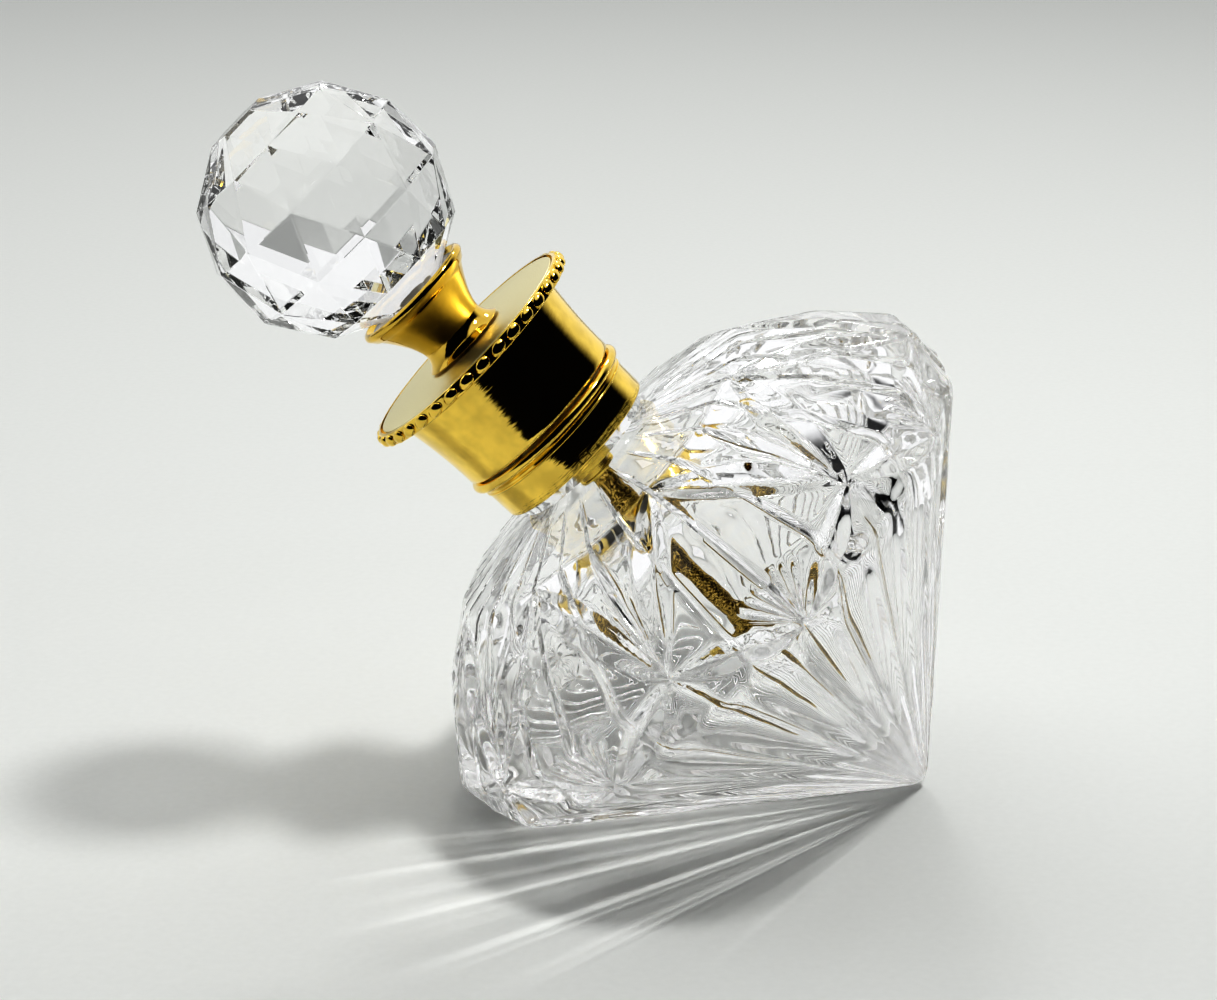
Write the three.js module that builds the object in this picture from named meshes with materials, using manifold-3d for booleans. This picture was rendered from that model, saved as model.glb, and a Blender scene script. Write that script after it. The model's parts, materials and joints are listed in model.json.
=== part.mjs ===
// A cut-glass perfume bottle lying on one facet of its pointed base, with a screw stopper: a crystal
// ball in a gold cup, a beaded cap, and a dauber rod that hangs in the bottle.
// Everything is made upright about one axis, from the point where the base facets would meet, and is
// then tipped over on to the resting facet.
import * as THREE from "three";
import { ConvexGeometry } from "three/addons/geometries/ConvexGeometry.js";
import { mergeVertices } from "three/addons/utils/BufferGeometryUtils.js";
import Module from "manifold-3d";

const wasm = await Module();
wasm.setup();

// Driving dimensions, in millimetres. Heights run along the stopper's axis.
const GAP = 0.3; // between pieces that touch on the real object

const BASE_FACETS = 16;
const GIRDLE_RADIUS = 39.2; // at the corners
const GIRDLE_FOOT = 38;
const GIRDLE_TOP = 44.5;
const CROWN_RADIUS = 32.7;
const CROWN_HEIGHT = 52;
const TABLE_RADIUS = 23.8;
const TABLE_HEIGHT = 58.3;
const TABLE_MIDDLE_HEIGHT = 60.6; // the table rises a little to the neck
const TIP_HEIGHT = 0.8; // the point is blunted here
const RESTING_AZIMUTH = 180;
const TABLE_CORNER_AZIMUTH = 286.875; // of a corner with a kite below it, on a flute of the base
const FLUTE_PITCH = 11.25;

const NECK_RADIUS = 8.6;
const NECK_TOP = 76.6;
const NECK_BEAD_RADIUS = 9.7;
const NECK_BEAD_TOP = 67.6;
const BORE_RADIUS = 5;
const CAVITY_FOOT = 14;

const THREAD_PITCH = 3;
const THREAD_TURNS = 1.5;
const THREAD_CREST = 9.5;
const THREAD_START = 69.4;

const COLLAR_RADIUS = 11;
const COLLAR_FOOT = 62.3;
const COLLAR_TOP = 68.15;
const RIDGE_RADIUS = 11.95;

const BARREL_FOOT_RADIUS = 11.5;
const BARREL_TOP_RADIUS = 12.3;
const BARREL_BORE = 10.9;
const BARREL_TOP = 78.65;

const PLATE_RADIUS = 14.2;
const PLATE_TOP = 80.6;
const PLATE_THICKNESS = 0.7;
const RIM_RADIUS = 15;
const BEADS = 36;

const STUD_RADIUS = 1.5;
const STUD_FOOT = 67;
const SOCKET_RADIUS = 2.75;
const SOCKET_FOOT = 53;
const ROD_RADIUS = 1.75;
const ROD_TIP = 21;

const BALL_RADIUS = 15;
const BALL_CENTRE = 103.2;
const CUP_LIP_RADIUS = 7.9;
const STEM_RADIUS = 4.3;

const EDGE_INSET = 0.3; // the cuts start this far inside the facets' edges

const degrees = (a) => (a * Math.PI) / 180;

/** The point at a radius, an azimuth in degrees and a height. */
function polar(radius, azimuth, height) {
  const a = degrees(azimuth);
  return new THREE.Vector3(radius * Math.cos(a), radius * Math.sin(a), height);
}

/** A geometry as a closed manifold solid. */
function solid(geometry) {
  const bare = geometry.clone();
  bare.deleteAttribute("normal");
  bare.deleteAttribute("uv");
  const merged = mergeVertices(bare, 1e-4);
  const vertProperties = merged.getAttribute("position").array;
  return new wasm.Manifold(new wasm.Mesh({ numProp: 3, vertProperties, triVerts: merged.index.array }));
}

/** A manifold solid as a geometry, its corners rounded to a grid so that none nearly coincide. */
function geometryOf(body) {
  const grid = 0.004;
  const mesh = body.getMesh();
  const rounded = mesh.vertProperties.map((v) => Math.round(v / grid) * grid);
  const geometry = new THREE.BufferGeometry();
  geometry.setAttribute("position", new THREE.BufferAttribute(rounded, 3));
  geometry.setIndex(new THREE.BufferAttribute(mesh.triVerts, 1));
  geometry.computeVertexNormals();
  return geometry;
}

/** A round piece from its closed [radius, height] outline, listed either way round. */
function turned(outline, segments = 36) {
  const points = outline.map(([radius, height]) => new THREE.Vector2(radius, height));
  if (THREE.ShapeUtils.area(points) < 0) points.reverse();
  points.push(points[0].clone());
  return new THREE.LatheGeometry(points, segments).rotateX(Math.PI / 2);
}

/** [radius, height] points of a circular arc about a centre, between two angles in degrees. */
function arc(centreRadius, centreHeight, radius, from, to, steps) {
  return Array.from({ length: steps + 1 }, (_, i) => {
    const a = degrees(from + ((to - from) * i) / steps);
    return [centreRadius + radius * Math.cos(a), centreHeight + radius * Math.sin(a)];
  });
}

/** A screw rib of trapezoid section, whose crest sinks back to the root at both ends. */
function threadRib(root, crest, start, turns) {
  const steps = Math.round(turns * 24);
  const fadeSteps = 3;
  const halfRoot = 0.6;
  const halfCrest = 0.3;
  const vertices = [];
  for (let i = 0; i <= steps; i++) {
    const fade = Math.min(1, Math.min(i, steps - i) / fadeSteps);
    const top = root + (crest - root) * (0.05 + 0.95 * fade);
    const turn = (i / steps) * turns;
    const section = [[root, -halfRoot], [top, -halfCrest], [top, halfCrest], [root, halfRoot]];
    for (const [radius, rise] of section)
      vertices.push(...polar(radius, turn * 360, start + turn * THREAD_PITCH + rise));
  }
  const faces = [];
  for (let i = 0; i < steps; i++)
    for (let j = 0; j < 4; j++) {
      const [a, b] = [4 * i + j, 4 * i + ((j + 1) % 4)];
      faces.push(a, a + 4, b, b, a + 4, b + 4);
    }
  const last = 4 * steps;
  faces.push(0, 1, 2, 0, 2, 3, last, last + 2, last + 1, last, last + 3, last + 2);
  if (crest < root) faces.reverse();
  const geometry = new THREE.BufferGeometry();
  geometry.setAttribute("position", new THREE.Float32BufferAttribute(vertices, 3));
  return geometry.setIndex(faces);
}

// The uncut gem: rings of corners, and the hull round them.
function gemBlank() {
  const baseCorner = RESTING_AZIMUTH + 180 / BASE_FACETS;
  const ring = (count, azimuth, radius, height) =>
    Array.from({ length: count }, (_, k) => polar(radius, azimuth + (360 * k) / count, height));
  return new ConvexGeometry([
    ...ring(BASE_FACETS, baseCorner, (TIP_HEIGHT * GIRDLE_RADIUS) / GIRDLE_FOOT, TIP_HEIGHT),
    ...ring(BASE_FACETS, baseCorner, GIRDLE_RADIUS, GIRDLE_FOOT),
    ...ring(16, TABLE_CORNER_AZIMUTH, GIRDLE_RADIUS, GIRDLE_TOP),
    ...ring(16, TABLE_CORNER_AZIMUTH, CROWN_RADIUS, CROWN_HEIGHT),
    ...ring(16, TABLE_CORNER_AZIMUTH, TABLE_RADIUS, TABLE_HEIGHT),
    ...ring(16, TABLE_CORNER_AZIMUTH, COLLAR_RADIUS, TABLE_MIDDLE_HEIGHT),
  ]);
}

const blank = new THREE.Mesh(gemBlank());

/** Where the blank's surface lies at [azimuth, height], with its outward normal. */
function onSurface([azimuth, height]) {
  const outside = polar(60, azimuth, height);
  const inward = polar(-1, azimuth, 0);
  const hit = new THREE.Raycaster(outside, inward).intersectObject(blank)[0];
  return { point: hit.point, normal: hit.face.normal };
}

/** A pointed V cut from start to end over its widest place, each given as [azimuth, height]. */
function leafCut(start, widest, end, width, depth) {
  const [a, m, b] = [start, widest, end].map(onSurface);
  const side = b.point.clone().sub(a.point).cross(m.normal).setLength(width);
  const rise = m.normal.clone().multiplyScalar(depth);
  const floor = m.point.clone().sub(rise);
  const above = m.point.clone().add(rise);
  const left = above.clone().add(side);
  const right = above.clone().sub(side);
  return solid(new ConvexGeometry([a.point, b.point, floor, left, right]));
}

const middle = ([a, h], [b, k]) => [(a + b) / 2, (h + k) / 2];

// One flute of the base, from near the tip out over the girdle's lower edge.
function flute(azimuth) {
  const foot = 1.8;
  const widest = GIRDLE_FOOT - EDGE_INSET;
  const end = GIRDLE_FOOT + 4;
  return leafCut([azimuth, foot], [azimuth, widest], [azimuth, end], 1.8, 0.8);
}

// The cuts of an eighth of the crown: the kite's two sides, the fan beside it and the girdle's crosses.
function crownCuts(corner) {
  const cuts = [];
  const tableEdge = TABLE_HEIGHT - EDGE_INSET;
  for (const side of [-1, 1]) {
    const top = [corner, tableEdge];
    const foot = [corner + side * 22.5, GIRDLE_TOP + EDGE_INSET];
    cuts.push(leafCut(top, middle(top, foot), foot, 1.5, 0.9));
  }
  const fan = corner + 22.5;
  for (const spread of [-9, 0, 9]) {
    const foot = [fan + spread * 0.06, GIRDLE_TOP + 2 * EDGE_INSET];
    const top = [fan + spread, tableEdge - EDGE_INSET];
    cuts.push(leafCut(foot, middle(foot, top), top, 0.8, 0.4));
  }
  for (const centre of [corner, fan])
    for (const side of [-1, 1]) {
      const foot = [centre - side * 9, GIRDLE_FOOT + 2 * EDGE_INSET];
      const top = [centre + side * 9, GIRDLE_TOP - EDGE_INSET];
      cuts.push(leafCut(foot, middle(foot, top), top, 1.2, 0.6));
    }
  return cuts;
}

// The glass neck, with the bead that the collar is cemented to and the screw rib.
function neck() {
  const column = turned([
    [0, GIRDLE_TOP],
    [NECK_BEAD_RADIUS, GIRDLE_TOP],
    ...arc(NECK_BEAD_RADIUS - 0.8, NECK_BEAD_TOP - 0.8, 0.8, 0, 90, 3),
    [NECK_RADIUS, NECK_BEAD_TOP],
    ...arc(NECK_RADIUS - 0.8, NECK_TOP - 0.8, 0.8, 0, 90, 3),
    [0, NECK_TOP],
  ]);
  const rib = threadRib(NECK_RADIUS - 0.2, THREAD_CREST, THREAD_START, THREAD_TURNS);
  return solid(column).add(solid(rib));
}

// The hollow inside the thick walls, open at the neck.
function cavity() {
  return solid(
    turned([
      [0, CAVITY_FOOT],
      [6, 14.8],
      [14, 20.5],
      [24, 31],
      [30.2, 38.5],
      ...arc(27.4, 42, 4, -30, 60, 4),
      [22, 51.2],
      [12, 54.6],
      [6.6, 57],
      [BORE_RADIUS, 60],
      [BORE_RADIUS, NECK_TOP + 1],
      [0, NECK_TOP + 1],
    ]),
  );
}

function glassBottle() {
  let body = solid(blank.geometry);
  for (let k = 0; k < 32; k++) body = body.subtract(flute(TABLE_CORNER_AZIMUTH + k * FLUTE_PITCH));
  for (let k = 0; k < 8; k++)
    for (const cut of crownCuts(TABLE_CORNER_AZIMUTH + k * 45)) body = body.subtract(cut);
  return geometryOf(body.add(neck()).subtract(cavity()));
}

// Pressed sheet collar with a rolled ridge round its top.
function neckCollar() {
  const bore = NECK_BEAD_RADIUS + GAP;
  const ridge = (RIDGE_RADIUS - COLLAR_RADIUS) * 0.7;
  return turned([
    [bore, COLLAR_FOOT],
    [COLLAR_RADIUS, COLLAR_FOOT],
    [COLLAR_RADIUS, COLLAR_TOP - 1.6],
    ...arc(RIDGE_RADIUS - ridge, COLLAR_TOP - ridge, ridge, -90, 90, 6),
    [bore, COLLAR_TOP],
  ]);
}

// The barrel's outside is hollowed in a long curve from the foot to the rim.
function capBarrel() {
  const foot = COLLAR_TOP + GAP;
  const outside = Array.from({ length: 7 }, (_, i) => {
    const t = i / 6;
    const radius = BARREL_FOOT_RADIUS + (BARREL_TOP_RADIUS - BARREL_FOOT_RADIUS) * t * t;
    return [radius, foot + (BARREL_TOP - foot) * t];
  });
  return turned([[BARREL_BORE, foot], ...outside, [BARREL_BORE, BARREL_TOP]]);
}

// An angle ring under and round the top plate, with slanted beads along its outside.
function beadedRim() {
  const foot = BARREL_TOP + GAP;
  const shelf = PLATE_TOP - PLATE_THICKNESS - GAP;
  let rim = solid(
    turned([
      [BARREL_BORE, foot],
      [RIM_RADIUS, foot],
      [RIM_RADIUS, PLATE_TOP],
      [PLATE_RADIUS + GAP, PLATE_TOP],
      [PLATE_RADIUS + GAP, shelf],
      [BARREL_BORE, shelf],
    ]),
  );
  const slant = degrees(15);
  for (let k = 0; k < BEADS; k++) {
    const bead = new THREE.SphereGeometry(1, 6, 4).rotateY(Math.PI / 2).scale(0.55, 1.15, 0.75);
    bead.rotateX(slant).translate(RIM_RADIUS, 0, (foot + PLATE_TOP) / 2);
    rim = rim.add(solid(bead.rotateZ(degrees((360 * k) / BEADS))));
  }
  return geometryOf(rim);
}

function capTopPlate() {
  const foot = PLATE_TOP - PLATE_THICKNESS;
  const hole = STUD_RADIUS + GAP;
  return turned([[hole, foot], [PLATE_RADIUS, foot], [PLATE_RADIUS, PLATE_TOP], [hole, PLATE_TOP]]);
}

// The heights of the stack between the neck's lip and the top plate.
const WASHER_FOOT = NECK_TOP + GAP;
const WASHER_TOP = WASHER_FOOT + 0.75;
const LINER_ROOF = WASHER_TOP + GAP;
const LINER_TOP = PLATE_TOP - PLATE_THICKNESS - GAP;
const FLANGE_RADIUS = 4.2;
const NUT_HOLE_RADIUS = 3.5;

// Moulded liner: a sleeve with a roof and the female screw rib.
function threadLiner() {
  const outer = BARREL_BORE - GAP;
  const inner = THREAD_CREST + GAP;
  const foot = COLLAR_TOP + 2 * GAP;
  const sleeve = turned([
    [inner, foot],
    [outer, foot],
    [outer, LINER_TOP],
    [NUT_HOLE_RADIUS, LINER_TOP],
    [NUT_HOLE_RADIUS, LINER_ROOF],
    [inner, LINER_ROOF],
  ]);
  const rib = threadRib(inner + 0.2, NECK_RADIUS + GAP, THREAD_START + THREAD_PITCH / 2, 1.25);
  return geometryOf(solid(sleeve).add(solid(rib)));
}

function sealingWasher() {
  const hole = FLANGE_RADIUS + GAP;
  const rim = NECK_RADIUS;
  return turned([[hole, WASHER_FOOT], [rim, WASHER_FOOT], [rim, WASHER_TOP], [hole, WASHER_TOP]]);
}

function lockNut() {
  const acrossCorners = 6.2;
  const corner = (_, i) => {
    const { x, y } = polar(acrossCorners / 2, 60 * i, 0);
    return new THREE.Vector2(x, y);
  };
  const outline = new THREE.Shape(Array.from({ length: 6 }, corner));
  outline.holes.push(new THREE.Path().absarc(0, 0, STUD_RADIUS + GAP, 0, 2 * Math.PI, true));
  const depth = LINER_TOP - LINER_ROOF;
  const nut = new THREE.ExtrudeGeometry(outline, { depth, bevelEnabled: false, curveSegments: 12 });
  return nut.translate(0, 0, LINER_ROOF);
}

const HOLE_IN_BALL_TOP = BALL_CENTRE - BALL_RADIUS + 5;

// One stud through dauber socket, nut, plate and cup, domed where it ends in the ball.
function stemStud() {
  const top = HOLE_IN_BALL_TOP - GAP;
  return turned(
    [[0, STUD_FOOT], [STUD_RADIUS, STUD_FOOT], [STUD_RADIUS, top - 0.9], [0.9, top - 0.2], [0, top]],
    20,
  );
}

// Trumpet cup: a flare on the plate, a waist, a hollow cone and a rolled lip.
function ballCup() {
  const foot = PLATE_TOP + GAP;
  const hole = STUD_RADIUS + GAP;
  const pocket = BALL_RADIUS + 1.2;
  const seat = (radius) => BALL_CENTRE - Math.sqrt(pocket ** 2 - radius ** 2);
  const lip = seat(CUP_LIP_RADIUS) + 0.3;
  return turned([
    [hole, foot],
    [5.5, foot],
    [4.7, foot + 0.7],
    [STEM_RADIUS, foot + 1.3],
    [STEM_RADIUS, foot + 2.2],
    [5.0, foot + 4.0],
    [6.2, foot + 6.0],
    [7.2, foot + 7.6],
    [7.3, lip - 1.1],
    ...arc(CUP_LIP_RADIUS - 0.55, lip - 0.1, 0.55, -50, 90, 5),
    ...[6.6, 5, 3.4].map((radius) => [radius, seat(radius)]),
    [hole, seat(hole)],
  ]);
}

// The cement is a shell between the ball and the cup's pocket.
function ballCement() {
  const under = BALL_RADIUS + 0.9;
  const over = BALL_RADIUS + 0.4;
  const rows = [2.1, 3.4, 5, 6.6];
  const at = (radius, shell) => [radius, BALL_CENTRE - Math.sqrt(shell ** 2 - radius ** 2)];
  return turned([
    ...rows.map((radius) => at(radius, under)),
    ...rows.toReversed().map((radius) => at(radius, over)),
  ], 24);
}

// Twelve-sided rows of facets round the ball's middle, six-sided at its ends, and the drilled hole.
function crystalBall() {
  const corners = [];
  const rows = [[-75, 6, 0], [-45, 12, 0], [-15, 12, 15], [15, 12, 0], [45, 12, 15], [75, 6, 15]];
  for (const [latitude, count, twist] of rows) {
    const radius = BALL_RADIUS * Math.cos(degrees(latitude));
    const height = BALL_CENTRE + BALL_RADIUS * Math.sin(degrees(latitude));
    for (let k = 0; k < count; k++) corners.push(polar(radius, twist + (360 * k) / count, height));
  }
  const foot = BALL_CENTRE - BALL_RADIUS - 1;
  const wall = STUD_RADIUS + GAP;
  const hole = turned([[0, foot], [wall, foot], [wall, HOLE_IN_BALL_TOP], [0, HOLE_IN_BALL_TOP]], 16);
  return geometryOf(solid(new ConvexGeometry(corners)).subtract(solid(hole)));
}

// Ferrule: a flange under the liner's roof, a blind hole for the stud and one for the rod.
function dauberSocket() {
  const studHole = STUD_RADIUS + GAP;
  const studHoleFoot = STUD_FOOT - GAP;
  const rodHole = ROD_RADIUS - 0.1;
  const rodHoleTop = SOCKET_FOOT + 7.3;
  return turned(
    [
      [rodHole, SOCKET_FOOT],
      [SOCKET_RADIUS + 0.35, SOCKET_FOOT],
      [SOCKET_RADIUS + 0.35, SOCKET_FOOT + 0.9],
      [SOCKET_RADIUS, SOCKET_FOOT + 1.2],
      [SOCKET_RADIUS, WASHER_FOOT],
      [FLANGE_RADIUS, WASHER_FOOT],
      [FLANGE_RADIUS, WASHER_TOP],
      [studHole, WASHER_TOP],
      [studHole, studHoleFoot],
      [0, studHoleFoot],
      [0, rodHoleTop],
      [rodHole, rodHoleTop],
    ],
    24,
  );
}

function dauberRod() {
  const spigot = ROD_RADIUS - 0.1 - GAP;
  const shoulder = SOCKET_FOOT - GAP;
  return turned(
    [
      [0, ROD_TIP],
      [0.7, ROD_TIP + 0.2],
      [1.1, ROD_TIP + 1.2],
      [ROD_RADIUS, ROD_TIP + 4.5],
      [ROD_RADIUS, shoulder],
      [spigot, shoulder],
      [spigot, SOCKET_FOOT + 7],
      [0, SOCKET_FOOT + 7],
    ],
    16,
  );
}

const glass = { color: 0xeef2f4, roughness: 0.03, metalness: 0 };
const gold = { color: 0xd6a73c, roughness: 0.18, metalness: 1 };
const brass = { color: 0xb8912f, roughness: 0.35, metalness: 1 };
const satin = { color: 0xd9d6c4, roughness: 0.45, metalness: 0.6 };
const plastic = { color: 0xe9e6dc, roughness: 0.5, metalness: 0 };
const cement = { color: 0xdedccf, roughness: 0.3, metalness: 0 };

const pieces = [
  ["glass_bottle", glassBottle(), glass],
  ["neck_collar", neckCollar(), gold],
  ["cap_barrel", capBarrel(), gold],
  ["beaded_rim", beadedRim(), gold],
  ["cap_top_plate", capTopPlate(), satin],
  ["thread_liner", threadLiner(), plastic],
  ["sealing_washer", sealingWasher(), plastic],
  ["lock_nut", lockNut(), brass],
  ["stem_stud", stemStud(), brass],
  ["ball_cup", ballCup(), gold],
  ["ball_cement", ballCement(), cement],
  ["crystal_ball", crystalBall(), glass],
  ["dauber_socket", dauberSocket(), gold],
  ["dauber_rod", dauberRod(), gold],
];

const upright = new THREE.Group();
for (const [name, geometry, look] of pieces) {
  const mesh = new THREE.Mesh(geometry, new THREE.MeshStandardMaterial(look));
  mesh.name = name;
  upright.add(mesh);
}

// Tipped until the resting facet lies level, then moved so that the origin is the middle of the
// bounding box's bottom.
const facetInradius = GIRDLE_RADIUS * Math.cos(Math.PI / BASE_FACETS);
const lean = Math.atan2(facetInradius, GIRDLE_FOOT);
upright.rotation.y = lean - Math.PI / 2;

const bottle = new THREE.Group();
bottle.add(upright);
const box = new THREE.Box3().setFromObject(bottle, true);
upright.position.set(-(box.min.x + box.max.x) / 2, -(box.min.y + box.max.y) / 2, -box.min.z);

export default bottle;
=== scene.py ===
"""A pressed-glass perfume bottle lying on one facet of its pointed base, with a gold screw stopper,
a cut crystal ball and a dauber rod. Each section makes one piece, in the order it is put together."""

import json
from math import cos, hypot, pi, radians, sin, sqrt

import bmesh
import bpy
from mathutils import Matrix, Vector


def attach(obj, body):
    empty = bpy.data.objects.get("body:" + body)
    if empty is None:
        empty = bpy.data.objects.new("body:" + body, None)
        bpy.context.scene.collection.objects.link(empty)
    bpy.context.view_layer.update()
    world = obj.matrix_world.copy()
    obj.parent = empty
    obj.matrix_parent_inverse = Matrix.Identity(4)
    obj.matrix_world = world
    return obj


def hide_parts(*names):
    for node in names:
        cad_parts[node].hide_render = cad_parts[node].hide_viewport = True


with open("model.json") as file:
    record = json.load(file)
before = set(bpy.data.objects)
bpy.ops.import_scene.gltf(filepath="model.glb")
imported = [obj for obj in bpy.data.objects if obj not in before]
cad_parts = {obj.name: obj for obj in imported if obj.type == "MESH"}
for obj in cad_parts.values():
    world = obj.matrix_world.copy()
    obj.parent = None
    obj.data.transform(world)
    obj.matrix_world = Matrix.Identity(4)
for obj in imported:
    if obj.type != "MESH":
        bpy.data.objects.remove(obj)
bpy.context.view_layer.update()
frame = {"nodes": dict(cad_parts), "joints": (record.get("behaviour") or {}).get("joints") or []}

# ---------------------------------------------------------------------------------------------
# The screw's axis and the view
# Everything but the floor is made upright about the line that the stopper screws along, in
# millimetres from where that line meets the table top, and is then laid down on the bottle's facet.
MM = 0.001
screw = next(joint for joint in frame["joints"] if joint["name"] == "stopper_turn")
axis = Vector(screw["axis"])
on_axis = Vector(screw["pos_m"])
point = on_axis - axis * (on_axis.z / axis.z)

lying = Matrix.Identity(4)
for column, direction in enumerate((Vector((axis.z, 0, -axis.x)), Vector((0, 1, 0)), axis)):
    for row in range(3):
        lying[row][column] = direction[row] * MM
for row in range(3):
    lying[row][3] = point[row]
upright = lying.inverted()

view_elevation = radians(17.8)
view_yaw = radians(1.75)
view_distance = 0.3443
level_share = cos(view_elevation)
looking = Vector((sin(view_yaw) * level_share, cos(view_yaw) * level_share, -sin(view_elevation)))
aim = point + Vector((-0.035 * cos(view_yaw), 0.035 * sin(view_yaw), 0.035))

camera = bpy.data.objects.new("camera", bpy.data.cameras.new("camera"))
camera.data.lens = 83.9
camera.data.sensor_width = 36
camera.data.shift_x = -0.0327
camera.data.shift_y = 0.0153
camera.data.clip_start = 0.01
camera.location = aim - looking * view_distance
camera.rotation_euler = looking.to_track_quat("-Z", "Y").to_euler()
bpy.context.scene.collection.objects.link(camera)
bpy.context.scene.camera = camera


# ---------------------------------------------------------------------------------------------
# Floor
# A seamless white sweep, matt, with the faintest tooth of paper. Polished metal doesn't see the part
# nearest the viewer, as if the table ended there.
class Wire:
    """A value that runs between nodes. Sums and products of Wires add their Math nodes."""

    def __init__(self, tree, socket=None):
        self.tree = tree
        self.socket = socket

    def feed(self, socket, value):
        if isinstance(value, Wire):
            self.tree.links.new(value.socket, socket)
        else:
            socket.default_value = value

    def node(self, kind, settings=None, inputs=None, output=None):
        """A new node with its settings made first, then its sockets. Gives one of its outputs."""
        made = self.tree.nodes.new(kind)
        for name, value in (settings or {}).items():
            setattr(made, name, value)
        for name, value in (inputs or {}).items():
            found = made.inputs[name] if isinstance(name, int) else None
            self.feed(found or next(s for s in made.inputs if s.enabled and s.name == name), value)
        outputs = [s for s in made.outputs if s.enabled and output in (None, s.name)]
        return Wire(self.tree, outputs[0] if outputs else None)

    def maths(self, operation, *values):
        return self.node("ShaderNodeMath", {"operation": operation}, dict(enumerate(values)))

    def __add__(self, other):
        return self.maths("ADD", self, other)

    __radd__ = __add__

    def __sub__(self, other):
        return self.maths("SUBTRACT", self, other)

    def __rsub__(self, other):
        return self.maths("SUBTRACT", other, self)

    def __mul__(self, other):
        return self.maths("MULTIPLY", self, other)

    __rmul__ = __mul__

    def __truediv__(self, other):
        return self.maths("DIVIDE", self, other)

    def __rtruediv__(self, other):
        return self.maths("DIVIDE", other, self)

    def __pow__(self, other):
        return self.maths("POWER", self, other)

    def __abs__(self):
        return self.maths("ABSOLUTE", self)

    def step(self, start, end, low=0.0, high=1.0):
        """A soft step from low to high as this value goes from start to end."""
        inputs = {"Value": self, "From Min": start, "From Max": end, "To Min": low, "To Max": high}
        return self.node("ShaderNodeMapRange", {"interpolation_type": "SMOOTHSTEP"}, inputs)

    def ramp(self, start, end, low=0.0, high=1.0):
        """A straight ramp from low to high, flat outside it."""
        inputs = {"Value": self, "From Min": start, "From Max": end, "To Min": low, "To Max": high}
        return self.node("ShaderNodeMapRange", {"clamp": True}, inputs)

    def parts(self):
        """The three numbers of a vector."""
        split = self.node("ShaderNodeSeparateXYZ", None, {"Vector": self})
        return [Wire(self.tree, socket) for socket in split.socket.node.outputs]

    def noise(self, place, scale, detail=2.0, roughness=0.5):
        inputs = {"Vector": place, "Scale": scale, "Detail": detail, "Roughness": roughness}
        return self.node("ShaderNodeTexNoise", None, inputs)

    def blend(self, share, first, second):
        inputs = {"Factor": share, "A": first, "B": second}
        return self.node("ShaderNodeMix", {"data_type": "RGBA"}, inputs)

    def bump(self, height, strength, distance):
        inputs = {"Height": height, "Strength": strength, "Distance": distance}
        return self.node("ShaderNodeBump", None, inputs)


def new_material(name, constants):
    """A Principled material with its constant values on the shader's own sockets."""
    material = bpy.data.materials.new(name)
    material.use_nodes = True
    shader = material.node_tree.nodes["Principled BSDF"]
    for socket, value in constants.items():
        shader.inputs[socket].default_value = value
    return material, shader, Wire(material.node_tree)


def link(name, data):
    """A new object in the scene for a mesh or a lamp."""
    made = bpy.data.objects.new(name, data)
    bpy.context.scene.collection.objects.link(made)
    return made


front_edge, sheet_reach, level = -0.12, 6, -0.00005
pale_paper, paler_paper = (0.80, 0.81, 0.785, 1), (0.84, 0.85, 0.825, 1)
paper, shader, wire = new_material("white_sweep", {"Roughness": 0.95, "Specular IOR Level": 0.2})
place = wire.node("ShaderNodeTexCoord", None, None, "Object")
grain = wire.noise(place, 900.0, 3.0)
wire.feed(shader.inputs["Base Color"], wire.blend(grain, pale_paper, paler_paper))
wire.feed(shader.inputs["Normal"], wire.bump(grain, 0.08, 0.0002))
for name, near, far in (("sweep", front_edge, sheet_reach), ("front_sweep", -sheet_reach, front_edge)):
    sheet = bpy.data.meshes.new(name)
    near_edge = [(-sheet_reach, near, level), (sheet_reach, near, level)]
    far_edge = [(sheet_reach, far, level), (-sheet_reach, far, level)]
    sheet.from_pydata(near_edge + far_edge, [], [(0, 1, 2, 3)])
    sheet.materials.append(paper)
    floor = link(name, sheet)
    floor.visible_glossy = name == "sweep"


# ---------------------------------------------------------------------------------------------
# Light
# A broad soft box overhead, a window behind, and a pale room whose near right side is dark, which
# is what the polished gold shows as black.
def soft_box(name, place, target, size, power, beam):
    """A flat lamp that points at its target, with its light kept inside a beam."""
    lamp = bpy.data.lights.new(name, "AREA")
    lamp.spread = radians(beam)
    lamp.shape = "RECTANGLE"
    lamp.size, lamp.size_y = size
    lamp.energy = power
    made = link(name, lamp)
    made.location = place
    made.rotation_euler = (Vector(target) - Vector(place)).to_track_quat("-Z", "Y").to_euler()


soft_box("overhead", (0.25, -0.02, 0.9), (0.03, 0.13, 0.0), (0.13, 0.13), 0.74, 106)
soft_box("window", (0.0, 0.7, 0.75), (0.02, 0.04, 0.0), (0.16, 0.08), 0.36, 130)

pale_walls, dark_side, backdrop = (0.78, 0.785, 0.79, 1), (0.006, 0.006, 0.007, 1), (0.42, 0.42, 0.42, 1)
dark_towards = (0.25, -0.97, 0)
world = bpy.data.worlds.new("studio")
world.use_nodes = True
wire = Wire(world.node_tree)
toward = wire.node("ShaderNodeTexCoord", None, None, "Generated")
lift = toward.parts()[2]
against = {"operation": "DOT_PRODUCT"}
room_side = wire.node("ShaderNodeVectorMath", against, {0: toward, 1: dark_towards}, "Value")
dark = room_side.step(-0.45, -0.05) * lift.step(0.8, 0.9, 1.0, 0.0)
seen = wire.node("ShaderNodeLightPath", None, None, "Is Camera Ray")
room = wire.blend(seen, wire.blend(dark, pale_walls, dark_side), backdrop)
wire.feed(world.node_tree.nodes["Background"].inputs["Color"], room)
world.node_tree.nodes["Background"].inputs["Strength"].default_value = 0.85
bpy.context.scene.world = world
film = bpy.context.scene.view_settings
film.view_transform = "Standard"
film.look = "Very High Contrast"
film.exposure = -0.16
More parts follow.
